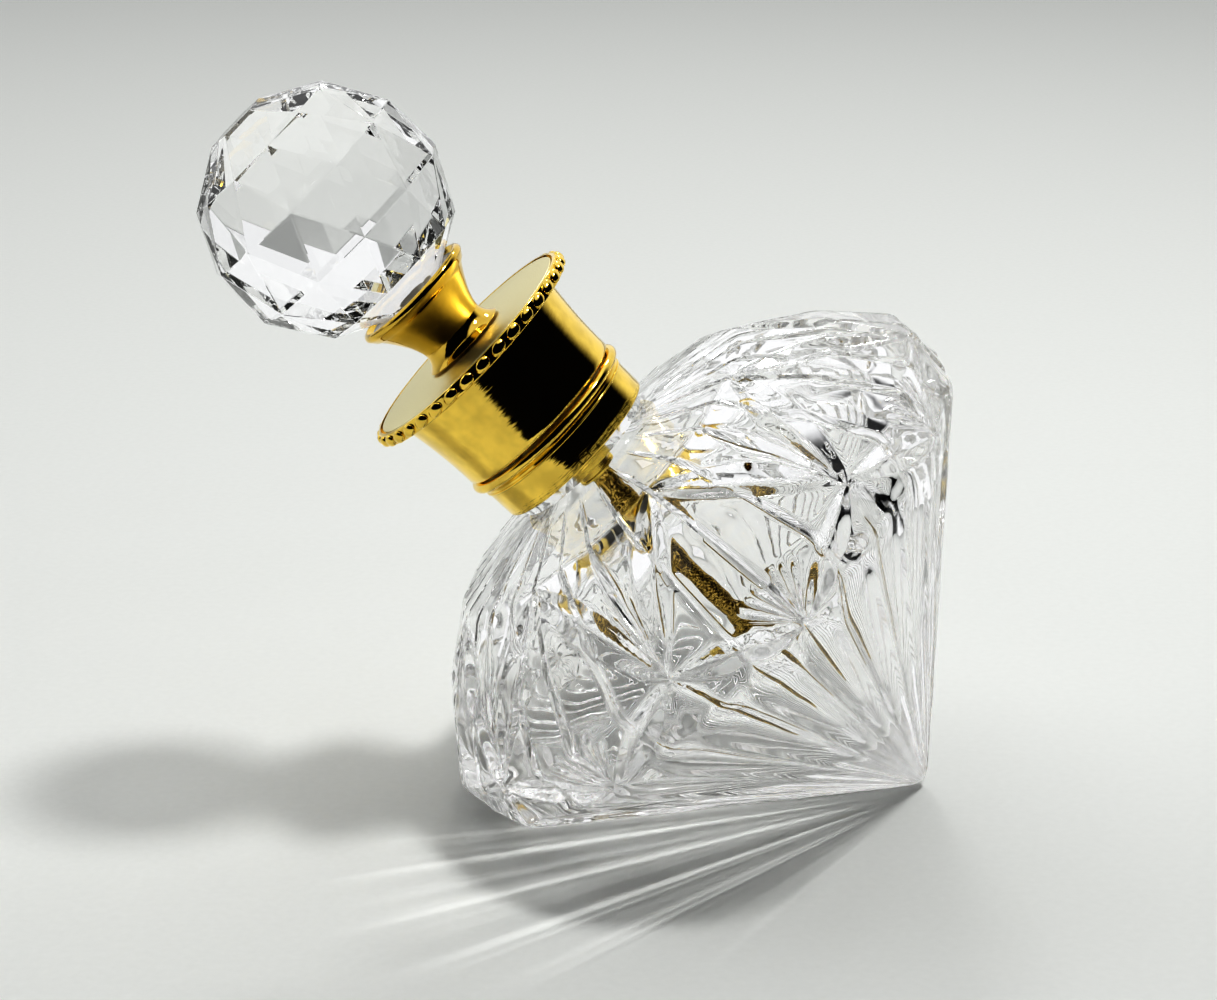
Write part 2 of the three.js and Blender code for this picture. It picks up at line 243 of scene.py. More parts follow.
bounces = bpy.context.scene.cycles
bounces.max_bounces = 32
bounces.transmission_bounces = 32
bounces.glossy_bounces = 12

# ---------------------------------------------------------------------------------------------
# Gathered light
# The bottle's fluted point gathers the lamps' light into soft streaks that fan out over the floor.
# A small lamp throws them: it has no shadow of its own and lights the floor in front only.
glow_place = Vector((0.02, -0.16, 0.30))
point_foot = Vector((0.0437, -0.001, 0.0))
glow = bpy.data.lights.new("gathered_light", "SPOT")
glow.energy = 1.7
glow.shadow_soft_size = 0.0
glow.spot_size = radians(110)
glow.use_shadow = False
glow.use_nodes = True
wire = Wire(glow.node_tree)
x, y, z = wire.node("ShaderNodeTexCoord", None, None, "Normal").parts()
left = x / z * glow_place.z + (point_foot.x - glow_place.x)
front = y / z * glow_place.z + (point_foot.y - glow_place.y)
bearing = x.maths("DEGREES", x.maths("ARCTAN2", front, left))
reach = (left * left + front * front) ** 0.5
one_way = wire.node("ShaderNodeCombineXYZ", None, {"X": bearing * 0.3})
streaks = wire.noise(one_way, 1.0, 2.0).step(0.42, 0.72)
fan_width = bearing.step(6, 16) * bearing.step(40, 66, 1.0, 0.0)
fan_reach = reach.step(0.004, 0.02) * front.step(0.02, 0.062, 1.0, 0.0) * left.step(0.045, 0.078, 1.0, 0.0)
wire.feed(glow.node_tree.nodes["Emission"].inputs["Strength"], streaks * fan_width * fan_reach)
link("gathered_light", glow).location = glow_place

# ---------------------------------------------------------------------------------------------
# Glass bottle
# Heavy clear glass pressed in a mould: a fluted point, a girdle, a crown of kites and fans under the
# flat table, and the screw neck. The thick-walled hollow is smooth, because it was blown.
girdle_radius, girdle_foot, girdle_top = 39.2, 38.0, 44.5
crown_radius, crown_height = 32.7, 52.0
table_radius, table_height = 23.8, 58.3
table_middle_radius, table_middle_height = 11.0, 60.6
tip_height = 0.8
neck_radius, neck_top = 8.6, 76.6
neck_bead_radius, neck_bead_top = 9.7, 67.6
bore_radius, cavity_foot = 5.0, 14.0
thread_pitch, thread_start, thread_crest, thread_turns = 3.0, 69.4, 9.5, 1.5
leading_corner, base_corner = 286.875, 191.25
kite_half_pitch, flat_half_pitch, flute_half_pitch = 22.5, 11.25, 5.625


def arc(centre_radius, centre_height, radius, start, end, steps):
    """(radius, height) points along an arc, for a turned outline."""
    angles = [radians(start + (end - start) * i / steps) for i in range(steps + 1)]
    return [(centre_radius + radius * cos(a), centre_height + radius * sin(a)) for a in angles]


def finely(points, step):
    """The same outline with a point at least every step."""
    fine = [points[0]]
    for (r0, h0), (r1, h1) in zip(points, points[1:]):
        count = max(1, round(hypot(r1 - r0, h1 - h0) / step))
        fine += [(r0 + (r1 - r0) * i / count, h0 + (h1 - h0) * i / count) for i in range(1, count + 1)]
    return fine


def softened(points, times):
    """The outline with its corners eased by averaging each point with its neighbours."""
    for _ in range(times):
        inner = [
            tuple((a + 2 * b + c) / 4 for a, b, c in zip(before, here, after))
            for before, here, after in zip(points, points[1:], points[2:])
        ]
        points = [points[0], *inner, points[-1]]
    return points


def turned(outline, segments=96):
    """A round solid from its closed (radius, height) outline. Each vertex keeps its place along it."""
    work = bmesh.new()
    along = work.verts.layers.float.new("along")
    rings = []
    travelled = 0
    for (radius, height), (r0, h0) in zip(outline, outline[:1] + outline):
        travelled += hypot(radius - r0, height - h0)
        spots = 1 if radius < 1e-6 else segments
        ring = []
        for k in range(spots):
            turn = 2 * pi * k / segments
            ring.append(work.verts.new((radius * cos(turn), radius * sin(turn), height)))
            ring[-1][along] = travelled
        rings.append(ring * (segments // spots))
    for low, high in zip(rings, rings[1:] + rings[:1]):
        for k in range(segments):
            corners = list(dict.fromkeys([low[k - 1], low[k], high[k], high[k - 1]]))
            if len(corners) > 2:
                work.faces.new(corners)
    bmesh.ops.recalc_face_normals(work, faces=work.faces)
    mesh = bpy.data.meshes.new("turned")
    work.to_mesh(mesh)
    work.free()
    return mesh


def settled(holder):
    """The mesh that an object's modifiers make. The object itself is removed."""
    bpy.context.view_layer.update()
    evaluated = holder.evaluated_get(bpy.context.evaluated_depsgraph_get())
    result = bpy.data.meshes.new_from_object(evaluated)
    bpy.data.objects.remove(holder)
    return result


class Recipe:
    """A Geometry Nodes tree with a mesh coming in and named sizes."""

    def __init__(self, name, sizes):
        self.sizes = sizes
        self.tree = bpy.data.node_groups.new(name, "GeometryNodeTree")
        self.tree.interface.new_socket("Geometry", in_out="INPUT", socket_type="NodeSocketGeometry")
        for size in sizes:
            self.tree.interface.new_socket(size, in_out="INPUT", socket_type="NodeSocketFloat")
        self.tree.interface.new_socket("Geometry", in_out="OUTPUT", socket_type="NodeSocketGeometry")
        self.entry = self.tree.nodes.new("NodeGroupInput")
        self.wire = Wire(self.tree)

    def size(self, name):
        """One of the recipe's sizes, or its mesh."""
        return Wire(self.tree, self.entry.outputs[name])

    def upright_place(self):
        """The vertex's distance from the axis, its azimuth in degrees from 0 to 360, and its height."""
        x, y, z = self.wire.node("GeometryNodeInputPosition").parts()
        azimuth = self.wire.maths("DEGREES", y.maths("ARCTAN2", y, x))
        return (x * x + y * y) ** 0.5, azimuth.maths("WRAP", azimuth, 360.0, 0.0), z

    def finish(self, geometry, material):
        """Ends the tree: what was repeated is made real and given its material."""
        real = self.wire.node("GeometryNodeRealizeInstances", None, {"Geometry": geometry})
        done = self.wire.node("GeometryNodeSetMaterial", None, {"Geometry": real, "Material": material})
        self.tree.links.new(done.socket, self.tree.nodes.new("NodeGroupOutput").inputs[0])

    def made_from(self, mesh):
        """The mesh that comes out when this one goes in."""
        holder = link("holder", mesh)
        modifier = holder.modifiers.new("recipe", "NODES")
        modifier.node_group = self.tree
        for item in self.tree.interface.items_tree:
            if item.name in self.sizes:
                modifier[item.identifier] = self.sizes[item.name]
        return settled(holder)


def fold(azimuth, corner, half_pitch):
    """Degrees from the nearest of a row of marks, one of them at corner and two half pitches apart."""
    return azimuth.maths("PINGPONG", azimuth - corner, half_pitch)


def leaf(across, along, start, end, half_width, depth, fullness=0.7):
    """How deep a pointed V cut is at each place, from its (across, along) start to its end."""
    length = hypot(end[0] - start[0], end[1] - start[1])
    u, v = (end[0] - start[0]) / length, (end[1] - start[1]) / length
    share = ((across - start[0]) * (u / length) + (along - start[1]) * (v / length)).ramp(0, 1)
    aside = abs((across - start[0]) * v - (along - start[1]) * u)
    lens = (share * (1 - share) * 4) ** fullness
    return (1 - aside / (lens * half_width + 0.001)).ramp(0, 1) * lens * depth


def fan(across, along, centre, pitch, reach, spread, depth):
    """Pleats that spread upwards from a centre, as on a shell."""
    up = along - centre
    angle = across.maths("DEGREES", across.maths("ARCTAN2", across, up))
    distance = (across * across + up * up) ** 0.5
    pleat = (1 - angle.maths("PINGPONG", angle, pitch / 2) / (pitch / 2)) ** 1.5
    reached = distance.step(0.3, reach * 0.3) * distance.step(reach * 0.6, reach, 1.0, 0.0)
    return pleat * reached * angle.step(spread - 3, spread + 1, 1.0, 0.0) * depth


gem_outline = softened(
    finely([(0, tip_height - 0.1), (tip_height, tip_height), (girdle_radius, girdle_foot)], 1.1)[:-1]
    + finely([(girdle_radius, girdle_foot), (girdle_radius, girdle_top), (crown_radius, crown_height)], 0.5)
    + finely([(crown_radius, crown_height), (table_radius, table_height)], 0.5)[1:]
    + finely([(table_radius, table_height), (table_middle_radius, table_middle_height)], 0.6)[1:],
    3,
)
neck_outline = (
    [(neck_bead_radius, table_middle_height + 0.4)]
    + arc(neck_bead_radius - 0.8, neck_bead_top - 0.8, 0.8, 0, 90, 5)
    + finely([(neck_radius, neck_bead_top), (neck_radius, neck_top - 0.8)], 0.28)
    + arc(neck_radius - 0.8, neck_top - 0.8, 0.8, 0, 90, 5)
    + arc(bore_radius + 0.4, neck_top - 0.4, 0.4, 90, 180, 3)
)
hollow = [
    (bore_radius, 60.5), (5.5, 58.4), (6.8, 56.8), (8.8, 55.7), (12, 54.6), (17, 53.2), (22, 51.2),
    (26, 48.2), (28.6, 45.2), (30.4, 42), (30.2, 38.5), (27.6, 34.8), (24, 31), (19, 25.6),
    (14, 20.5), (10, 17.2), (6, 14.8), (3, 14.1), (0, cavity_foot),
]
hollow_outline = softened(finely(hollow, 1.6), 3)


def along_at(height):
    """How far along the gem's outline a height is reached, on the outside of the base or crown."""
    travelled = 0
    for (r0, h0), (r1, h1) in zip(gem_outline, gem_outline[1:]):
        if h1 >= height:
            return travelled + hypot(r1 - r0, h1 - h0) * (height - h0) / (h1 - h0)
        travelled += hypot(r1 - r0, h1 - h0)
    return travelled


gem_end = along_at(table_middle_height + 99)
table_edge = along_at(table_height - 0.2)
fan_foot = along_at(girdle_top + 0.5)
kite_foot = along_at(girdle_foot)
eighth = girdle_radius * radians(kite_half_pitch)

cut_sizes = {"leaf depth": 1.0, "leaf half width": 2.5, "flute depth": 0.95, "fan depth": 0.25}
mould = Recipe("mould", cut_sizes)
radius, azimuth, height = mould.upright_place()
number = {"data_type": "FLOAT"}
along = mould.wire.node("GeometryNodeInputNamedAttribute", number, {"Name": "along"}, "Attribute")
pressed = along.step(table_edge + 2, gem_end, 1.0, 0.0)
crown_share = height.step(girdle_foot, girdle_top)
flats = []
for corner in (base_corner, leading_corner):
    off_centre = (flat_half_pitch - fold(azimuth, corner, flat_half_pitch)) * radians(1)
    flats.append(cos(radians(flat_half_pitch)) / off_centre.maths("COSINE", off_centre))
polygon = flats[0] + (flats[1] - flats[0]) * crown_share
radius_factor = 1 + (polygon - 1) * pressed
from_corner = fold(azimuth, leading_corner, kite_half_pitch)
across = radius * radius_factor * from_corner * radians(1)
across_fan = radius * radius_factor * (kite_half_pitch - from_corner) * radians(1)


def deepest(cuts):
    """The deepest of the cuts at each place, eased where two meet."""
    cut = cuts[0]
    for other in cuts[1:]:
        cut = cut.maths("SMOOTH_MAX", cut, other, 0.08)
    return cut


def crown_cuts(across, across_fan, along, depth, half_width, fan_depth):
    """The kite's sides, the ray up the fan's middle, the zigzag under them, and the two shells."""
    cuts = [
        leaf(across, along, (0, table_edge), (eighth, fan_foot), half_width, depth),
        leaf(across_fan, along, (0, fan_foot), (0, table_edge), half_width * 0.55, depth * 0.45),
        leaf(across, along, (0, kite_foot), (eighth, fan_foot), half_width * 0.8, depth * 0.8),
        fan(across_fan, along, fan_foot, 8, 14, 29, fan_depth),
        fan(across, along, kite_foot + 0.6, 12, 8.5, 46, fan_depth),
    ]
    return deepest(cuts)


crown_sizes = [mould.size(name) for name in ("leaf depth", "leaf half width", "fan depth")]
crown = crown_cuts(across, across_fan, along, *crown_sizes)
zigzag = kite_foot + (fan_foot - kite_foot) * from_corner / kite_half_pitch - 0.6
arch = ((zigzag - along) / 9).ramp(0, 1) ** 0.5
off_flute = fold(azimuth, leading_corner, flute_half_pitch) / flute_half_pitch
scallop = (1 - (off_flute / (arch * 0.92 + 0.001)) ** 2).ramp(0, 1)
cut = deepest([crown, scallop * (radius * 0.05).ramp(0, 1) * mould.size("flute depth")])
place = mould.wire.node("GeometryNodeInputPosition")
waves = mould.wire.noise(place, 0.16, 1.0) * 0.25
cut = (cut + waves) * pressed

turn = (height - thread_start) / thread_pitch - azimuth / 360
whole = turn.maths("ROUND", turn)
wound = whole + azimuth / 360
off_rib = abs(turn - whole) * thread_pitch
fade = wound.ramp(0, 0.125) * wound.ramp(thread_turns - 0.125, thread_turns, 1.0, 0.0)
on_neck = height.ramp(68.2, 68.3) * height.ramp(75.6, 75.7, 1.0, 0.0) * radius.ramp(8.3, 8.5)
rib = off_rib.ramp(0.3, 0.6, 1.0, 0.0) * fade * on_neck * (thread_crest - neck_radius)

stretch = radius_factor + rib / neck_radius
x, y, z = place.parts()
moved = mould.wire.node("ShaderNodeCombineXYZ", None, {"X": x * stretch, "Y": y * stretch, "Z": z})
sunk = {"Vector": mould.wire.node("GeometryNodeInputNormal"), "Scale": 0 - cut}
inward = mould.wire.node("ShaderNodeVectorMath", {"operation": "SCALE"}, sunk)
moved = mould.wire.node("ShaderNodeVectorMath", {"operation": "ADD"}, {0: moved, 1: inward})
blank = mould.size("Geometry")
for name, value in {"across": across, "across_fan": across_fan}.items():
    kept = {"Geometry": blank, "Name": name, "Value": value}
    blank = mould.wire.node("GeometryNodeStoreNamedAttribute", number | {"domain": "POINT"}, kept)
shape = {"Geometry": blank, "Position": moved}
glass_constants = {"Transmission Weight": 1.0, "IOR": 1.5, "Roughness": 0.0, "Base Color": (1, 1, 1, 1)}
pressed_glass, shader, wire = new_material("pressed_glass", glass_constants)
mould.finish(mould.wire.node("GeometryNodeSetPosition", None, shape), pressed_glass)


def upright_frame(wire):
    """Object coordinates stood upright in millimetres, for patterns that follow the screw's axis."""
    stand = {
        "Vector": wire.node("ShaderNodeTexCoord", None, None, "Object"),
        "Location": upright.to_translation(),
        "Rotation": upright.to_3x3().normalized().to_euler(),
        "Scale": (1 / MM,) * 3,
    }
    return wire.node("ShaderNodeMapping", None, stand)


def mixed_shader(wire, share, first, second):
    """Two shaders mixed, from the first at a share of 0 to the second at 1."""
    return wire.node("ShaderNodeMixShader", None, {0: share, 1: first, 2: second})


def lets_light_through(shader, wire, clearness, gathered=1.05):
    """Lamps shine straight through the glass where it faces them, so that its shadow shows its cuts."""
    facing = wire.node("ShaderNodeLayerWeight", None, {"Blend": 0.35}, "Facing")
    shadow = wire.node("ShaderNodeLightPath", None, None, "Is Shadow Ray")
    clear = wire.node("ShaderNodeBsdfTransparent", None, {"Color": (gathered, gathered, gathered, 1)})
    share = shadow * (1 - facing) ** 2 * clearness
    return mixed_shader(wire, share, Wire(wire.tree, shader.outputs[0]), clear)


attributes = {}
for name in ("across", "across_fan", "along"):
    attributes[name] = wire.node("ShaderNodeAttribute", {"attribute_name": name}, None, "Fac")
crisp = crown_cuts(**attributes, depth=0.7, half_width=2.4, fan_depth=0.3)
ripple = wire.noise(wire.node("ShaderNodeTexCoord", None, None, "Object"), 260.0, 2.0) * 0.02
wire.feed(shader.inputs["Normal"], wire.bump(ripple - crisp, 1.0, MM))
x, y, z = upright_frame(wire).parts()
azimuth = x.maths("DEGREES", x.maths("ARCTAN2", y, x))
outside = ((x * x + y * y) ** 0.5 - z * 0.9).ramp(0, 1) * z.ramp(38, 40, 1.0, 0.0)
above_floor = wire.node("ShaderNodeTexCoord", None, None, "Object").parts()[2]
low = above_floor.ramp(0.030, 0.036, 1.0, 0.0)
streak = (1 - fold(azimuth, leading_corner, flute_half_pitch) / flute_half_pitch) ** 3
seen_glass = lets_light_through(shader, wire, 0.42 - low * (0.25 - outside * streak * 0.8), 1.15)
wire.feed(pressed_glass.node_tree.nodes["Material Output"].inputs["Surface"], seen_glass)


def piece(name, mesh, material, body, node, sharp=30):
    """Lays an upright mesh down on its body, in place of the plain solid that it stands for."""
    mesh.transform(lying)
    mesh.shade_smooth()
    mesh.set_sharp_from_angle(angle=radians(sharp))
    mesh.materials.clear()
    mesh.materials.append(material)
    made = link(name, mesh)
    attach(made, body)
    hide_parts(node)


bottle = mould.made_from(turned(gem_outline + neck_outline + hollow_outline, 448))
piece("pressed_bottle", bottle, pressed_glass, "bottle", "glass_bottle", 70)

# ---------------------------------------------------------------------------------------------
# Neck collar
# Thin brass pressed over the neck's bead and cemented, with a rolled ridge that the cap meets.
def gold_plate(name, colour, roughness, streaks):
    """Polished gold plate with faint marks from the wheel that it was turned against."""
    material, shader, wire = new_material(name, {"Metallic": 1.0})
    place = upright_frame(wire)
    drawn = wire.node("ShaderNodeMapping", None, {"Vector": place, "Scale": (0.1, 0.1, 1)})
    chattered = wire.node("ShaderNodeMapping", None, {"Vector": place, "Scale": (0.4, 0.4, 2.6)})
    brush = wire.noise(drawn, 3.0, 3.0, 0.65) + wire.noise(chattered, 1.0, 2.0) * 2.6
    cloud = wire.noise(place, 0.35, 2.0)
    darker = tuple(c * 0.82 for c in colour[:3]) + (1,)
    wire.feed(shader.inputs["Base Color"], wire.blend(cloud.step(0.35, 0.7), colour, darker))
    wire.feed(shader.inputs["Roughness"], brush * 0.02 + cloud * 0.04 + (roughness - 0.05))
    wire.feed(shader.inputs["Normal"], wire.bump(brush, streaks, 0.00001))
    return material


gold = gold_plate("gold_plate", (1.0, 0.75, 0.19, 1), 0.07, 0.8)
collar_bore, collar_radius, collar_foot, collar_top = 10.0, 11.0, 62.3, 68.15
ridge_radius, ridge = 11.95, 0.6
collar = turned(
    [(collar_bore, collar_foot), (collar_radius - 0.2, collar_foot)]
    + arc(collar_radius - 0.2, collar_foot + 0.2, 0.2, -60, 0, 3)
    + arc(collar_radius + 0.05, collar_top - 2.0, 0.16, -90, 90, 6)
    + [(collar_radius, collar_top - 2 * ridge - 0.4)]
    + arc(ridge_radius - ridge, collar_top - ridge, ridge, -80, 90, 10)
    + [(collar_bore, collar_top)],
    128,
)
piece("gold_collar", collar, gold, "bottle", "neck_collar", 50)

# ---------------------------------------------------------------------------------------------
# Cap barrel
# A spun brass barrel that flares gently up to the rim, plated and brushed from end to end.
barrel_bore, barrel_foot_radius, barrel_top_radius, barrel_top = 10.9, 11.5, 12.3, 78.65
barrel_foot = collar_top + 0.3
flare = [i / 16 for i in range(17)]
barrel = turned(
    [(barrel_bore, barrel_foot), (barrel_foot_radius - 0.15, barrel_foot)]
    + [
        (
            barrel_foot_radius + (barrel_top_radius - barrel_foot_radius) * t * t,
            barrel_foot + 0.15 + (barrel_top - barrel_foot - 0.15) * t,
        )
        for t in flare
    ]
    + [(barrel_bore, barrel_top)],
    128,
)
piece("gold_barrel", barrel, gold, "cap", "cap_barrel", 50)

# ---------------------------------------------------------------------------------------------
# Beaded rim
# A pressed angle ring that holds the top plate, with thirty-six slanted beads round its edge.
rim_foot, rim_radius = barrel_top + 0.3, 15.0
plate_foot, plate_top, plate_radius = 79.9, 80.6, 14.2
seat_radius = plate_radius + 0.3
rim_ring = turned(
    [(barrel_bore, rim_foot), (rim_radius - 0.25, rim_foot)]
    + arc(rim_radius - 0.25, rim_foot + 0.25, 0.25, -60, 0, 3)
    + arc(rim_radius - 0.25, plate_top - 0.2, 0.2, 0, 90, 4)
    + [(seat_radius, plate_top), (seat_radius, plate_foot - 0.3), (barrel_bore, plate_foot - 0.3)],
    144,
)
bead_lean, bead_shape = radians(15), (0.55, 1.12, 0.74)
bead_sizes = {"beads": 36.0, "ring radius": rim_radius, "bead height": (rim_foot + plate_top) / 2}
beading = Recipe("beading", bead_sizes)
beads = beading.size("beads")
ball_sizes = {"Segments": 20, "Rings": 12, "Radius": 1.0}
bead = beading.wire.node("GeometryNodeMeshUVSphere", None, ball_sizes, "Mesh")
spots = {"Vertices": beads, "Radius": beading.size("ring radius")}
circle = beading.wire.node("GeometryNodeMeshCircle", {"fill_type": "NONE"}, spots)
index = beading.wire.node("GeometryNodeInputIndex")
spin = beading.wire.node("ShaderNodeCombineXYZ", None, {"X": bead_lean, "Z": index * (2 * pi) / beads})
set_out = {"Points": circle, "Instance": bead, "Rotation": spin, "Scale": bead_shape}
row = beading.wire.node("GeometryNodeInstanceOnPoints", None, set_out)
lift = beading.wire.node("ShaderNodeCombineXYZ", None, {"Z": beading.size("bead height")})
row = beading.wire.node("GeometryNodeTransform", None, {"Geometry": row, "Translation": lift})
joined = beading.tree.nodes.new("GeometryNodeJoinGeometry")
beading.tree.links.new(beading.size("Geometry").socket, joined.inputs[0])
beading.tree.links.new(row.socket, joined.inputs[0])
beading.finish(Wire(beading.tree, joined.outputs[0]), gold)
piece("beaded_edge", beading.made_from(rim_ring), gold, "cap", "beaded_rim", 50)

# ---------------------------------------------------------------------------------------------
# Cap top plate
# A pale satin disc let into the rim, brushed in circles.
satin, shader, wire = new_material("satin_plate", {"Metallic": 1.0})
x, y, z = upright_frame(wire).parts()
from_centre = (x * x + y * y) ** 0.5
rings = wire.noise(wire.node("ShaderNodeCombineXYZ", None, {"X": from_centre}), 9.0, 3.0)
wire.feed(shader.inputs["Base Color"], wire.blend(rings, (0.86, 0.80, 0.52, 1), (0.74, 0.68, 0.40, 1)))
wire.feed(shader.inputs["Roughness"], rings * 0.15 + 0.3)
wire.feed(shader.inputs["Normal"], wire.bump(rings, 0.3, 0.00003))
plate_hole = 1.8
disc = turned(
    [(plate_hole, plate_foot), (plate_radius - 0.1, plate_foot)]
    + arc(plate_radius - 0.15, plate_top - 0.15, 0.15, 0, 90, 4)
    + [(plate_hole, plate_top)],
    128,
)
piece("satin_disc", disc, satin, "cap", "cap_top_plate", 50)

# ---------------------------------------------------------------------------------------------
# Ball cup
# A spun trumpet on the plate: a small flare, a waist, a hollow cone and a rolled lip for the ball.
ball_radius, ball_centre = 15.0, 103.2
pocket, cup_foot, cup_lip = ball_radius + 1.2, plate_top + 0.3, 7.9


def seat(radius, shell=pocket):
    """The height of a shell round the ball's underside."""
    return ball_centre - sqrt(shell**2 - radius**2)


lip = seat(cup_lip) + 0.3
trumpet = [
    (5.45, cup_foot + 0.1), (4.9, cup_foot + 0.5), (4.45, cup_foot + 1.1), (4.3, cup_foot + 1.8),
    (4.35, cup_foot + 2.5), (4.9, cup_foot + 4.0), (6.0, cup_foot + 5.9), (7.0, cup_foot + 7.3),
    (7.3, lip - 1.1),
]
cup = turned(
    [(plate_hole, cup_foot), (5.4, cup_foot)]
    + softened(finely(trumpet, 0.4), 2)
    + arc(cup_lip - 0.55, lip - 0.1, 0.55, -50, 100, 10)
    + [(r, seat(r)) for r in (6.6, 5.8, 5, 4.2, 3.4, 2.6, plate_hole)],
    128,
)
# Painted shade: the cup's gold is a darker copy of the plate's gold, standing in for the dark surroundings
# that the cup reflects.
shaded_gold = gold_plate("shaded_gold_plate", (0.86, 0.61, 0.14, 1), 0.06, 0.6)
piece("trumpet_cup", cup, shaded_gold, "cap", "ball_cup", 50)

# ---------------------------------------------------------------------------------------------
# Stem stud
# One plated stud through the whole stopper, domed where it ends inside the ball.
stud_radius, stud_foot, hole_top = 1.5, 67.0, ball_centre - ball_radius + 5
stud_top = hole_top - 0.3
stud = turned(
    [(0, stud_foot), (stud_radius - 0.1, stud_foot), (stud_radius, stud_foot + 0.1)]
    + [(stud_radius, stud_top - 0.9), (1.25, stud_top - 0.45), (0.85, stud_top - 0.17)]
    + [(0.4, stud_top - 0.03), (0, stud_top)],
    48,
)
piece("gold_stud", stud, gold, "cap", "stem_stud", 60)

# ---------------------------------------------------------------------------------------------
# Ball cement
# A thin bed of clear cement between the ball and its cup.
cement, shader, wire = new_material("clear_cement", {"Transmission Weight": 0.85, "IOR": 1.5})
specks = wire.noise(upright_frame(wire), 1.2, 2.0)
wire.feed(shader.inputs["Base Color"], wire.blend(specks, (0.93, 0.92, 0.87, 1), (0.97, 0.96, 0.93, 1)))
wire.feed(shader.inputs["Roughness"], specks * 0.1 + 0.05)
bed = turned(
    [(r, seat(r, ball_radius + 0.9)) for r in (2.1, 3.4, 4.6, 5.6, 6.6)]
    + [(r, seat(r, ball_radius + 0.4)) for r in (6.6, 5.6, 4.6, 3.4, 2.1)],
    96,
)
piece("cement_bed", bed, cement, "cap", "ball_cement", 60)

# ---------------------------------------------------------------------------------------------
# Crystal ball
# Lead crystal cut with six rows of flat facets and polished, with a blind hole for the stud.
crystal_constants = {"Transmission Weight": 1.0, "IOR": 1.62, "Roughness": 0.0, "Base Color": (1, 1, 1, 1)}
crystal, shader, wire = new_material("cut_crystal", crystal_constants)
hole_radius = 1.8
x, y, z = upright_frame(wire).parts()
near_hole = ((x * x + y * y) ** 0.5).ramp(hole_radius + 0.05, hole_radius + 0.15, 1.0, 0.0)
in_hole = near_hole * z.ramp(95, 96, 1.0, 0.0)
glued = {"Base Color": (0.62, 0.60, 0.52, 1), "Roughness": 0.4}
ground = wire.node("ShaderNodeBsdfPrincipled", None, glued)
seen_crystal = mixed_shader(wire, in_hole, lets_light_through(shader, wire, 0.3), ground)
wire.feed(crystal.node_tree.nodes["Material Output"].inputs["Surface"], seen_crystal)
facet_rows = ((-75, 6, 0), (-45, 12, 0), (-15, 12, 15), (15, 12, 0), (45, 12, 15), (75, 6, 15))
work = bmesh.new()
for latitude, count, twist in facet_rows:
    level = radians(latitude)
    for k in range(count):
        turn = radians(twist + 360 * k / count)
        flat = ball_radius * cos(level)
        work.verts.new((flat * cos(turn), flat * sin(turn), ball_centre + ball_radius * sin(level)))
bmesh.ops.convex_hull(work, input=work.verts)
bmesh.ops.dissolve_limit(work, angle_limit=radians(0.5), verts=work.verts, edges=work.edges)
bmesh.ops.bevel(work, geom=work.edges, offset=0.07, offset_type="OFFSET", segments=1, affect="EDGES")
bmesh.ops.recalc_face_normals(work, faces=work.faces)
ball = bpy.data.meshes.new("ball")
work.to_mesh(ball)
work.free()


def drilled(mesh, drill):
    """The solid with another taken out of it."""
    tool = link("drill", drill)
    holder = link("holder", mesh)
    cutter = holder.modifiers.new("drill", "BOOLEAN")
    cutter.object = tool
    cutter.solver = "MANIFOLD"
    result = settled(holder)
    bpy.data.objects.remove(tool)
    return result


drill_foot = ball_centre - ball_radius - 1
drill = [(0, drill_foot), (hole_radius, drill_foot), (hole_radius, hole_top - 0.6), (0, hole_top)]
ball = drilled(ball, turned(drill, 48))
piece("cut_crystal_ball", ball, crystal, "cap", "crystal_ball", 5)

# ---------------------------------------------------------------------------------------------
# Thread liner, washer and nut
# A moulded sleeve with the female screw inside the barrel, a soft washer on the dauber, and the nut
# that draws the stack together on the stud.
def dressed(node, material):
    """Gives a plain solid its own material, and leaves its shape alone."""
    materials = frame["nodes"][node].data.materials
    materials.clear()
    materials.append(material)


liner_plastic, shader, wire = new_material("liner_plastic", {"Subsurface Weight": 0.1})
mottle = wire.noise(upright_frame(wire), 0.8, 2.0)
wire.feed(shader.inputs["Base Color"], wire.blend(mottle, (0.86, 0.85, 0.81, 1), (0.91, 0.90, 0.86, 1)))
wire.feed(shader.inputs["Roughness"], mottle * 0.15 + 0.35)
dressed("thread_liner", liner_plastic)

washer_rubber, shader, wire = new_material("washer_rubber", {"Transmission Weight": 0.2})
mottle = wire.noise(upright_frame(wire), 1.5, 2.0)
wire.feed(shader.inputs["Base Color"], wire.blend(mottle, (0.80, 0.79, 0.74, 1), (0.86, 0.85, 0.80, 1)))
wire.feed(shader.inputs["Roughness"], mottle * 0.1 + 0.5)
dressed("sealing_washer", washer_rubber)

dressed("lock_nut", gold_plate("turned_brass", (0.72, 0.57, 0.20, 1), 0.3, 0.2))

# ---------------------------------------------------------------------------------------------
# Dauber socket
# A plated tube that hangs from the stud and grips the rod, with a lip at its open end.
socket_foot, socket_top, socket_radius = 53.0, 76.9, 2.75
socket_tube = turned(
    [(1.45, 60.5), (1.45, 53.6), (1.9, socket_foot), (2.9, socket_foot)]
    + arc(2.9, socket_foot + 0.2, 0.2, -90, 0, 3)
    + arc(2.9, socket_foot + 0.7, 0.2, 0, 90, 3)
    + [(socket_radius, socket_foot + 1), (socket_radius, socket_top), (4.2, socket_top)]
    + [(4.2, socket_top + 0.75), (1.8, socket_top + 0.75), (1.8, 66.5), (1.45, 66.2)],
    64,
)
piece("gold_socket", socket_tube, gold, "dauber", "dauber_socket", 40)

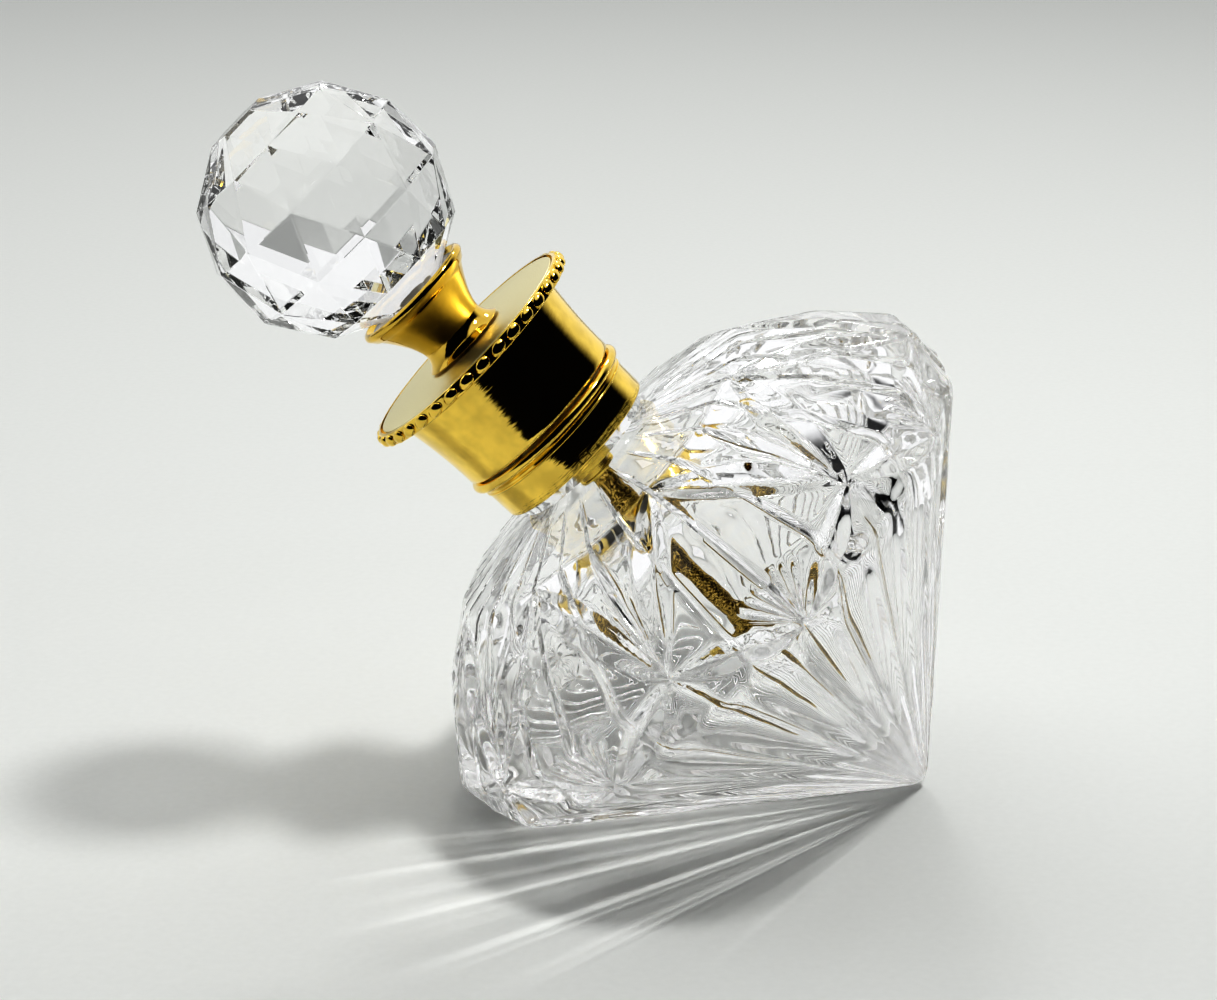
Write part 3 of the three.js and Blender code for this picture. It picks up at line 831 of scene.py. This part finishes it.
# ---------------------------------------------------------------------------------------------
# Dauber rod
# A long gold-plated rod with a fine diamond knurl that holds the scent, and a blunt end.
rod_radius, rod_tip, rod_shoulder, spigot_radius = 1.75, 21.0, 52.7, 1.35
rod = turned(
    [(0, rod_tip), (0.4, rod_tip + 0.05), (0.75, rod_tip + 0.25), (1.05, rod_tip + 0.8), (1.3, rod_tip + 2)]
    + finely([(1.5, rod_tip + 3.2), (rod_radius, rod_tip + 4.5), (rod_radius, rod_shoulder - 0.2)], 0.14)
    + [(rod_radius - 0.15, rod_shoulder), (spigot_radius, rod_shoulder), (spigot_radius, 59.9), (0, 60.0)],
    72,
)
knurling = Recipe("knurling", {"pitch": 0.62, "depth": 0.13, "starts": 14.0})
radius, azimuth, height = knurling.upright_place()
climb = height / knurling.size("pitch") / 2
round_share = azimuth * knurling.size("starts") / 360
left, right = (climb.maths("PINGPONG", climb + sign * round_share, 0.5) for sign in (1, -1))
groove = 1 - (left * 2).maths("MINIMUM", left * 2, right * 2)
rolled = height.ramp(rod_tip + 1, rod_tip + 3) * height.ramp(rod_shoulder - 1, rod_shoulder - 0.5, 1.0, 0.0)
deep = groove**2 * rolled * knurling.size("depth")
sunk = {"Vector": knurling.wire.node("GeometryNodeInputNormal"), "Scale": 0 - deep}
offset = knurling.wire.node("ShaderNodeVectorMath", {"operation": "SCALE"}, sunk)
shape = {"Geometry": knurling.size("Geometry"), "Offset": offset}
# Painted shade: dark brown speckles, scattered at random over the gold, stand in for the shade and dark
# reflections in the knurl's pits.
painted_knurl_shade, bright_gold = (0.16, 0.10, 0.03, 1), (0.95, 0.70, 0.22, 1)
knurled_gold, shader, wire = new_material("knurled_gold", {"Metallic": 1.0})
speckle = wire.noise(upright_frame(wire), 2.4, 3.0, 0.7)
wire.feed(shader.inputs["Base Color"], wire.blend(speckle.step(0.42, 0.6), painted_knurl_shade, bright_gold))
wire.feed(shader.inputs["Roughness"], speckle * 0.2 + 0.1)
knurling.finish(knurling.wire.node("GeometryNodeSetPosition", None, shape), knurled_gold)
piece("knurled_rod", knurling.made_from(rod), knurled_gold, "dauber", "dauber_rod", 180)
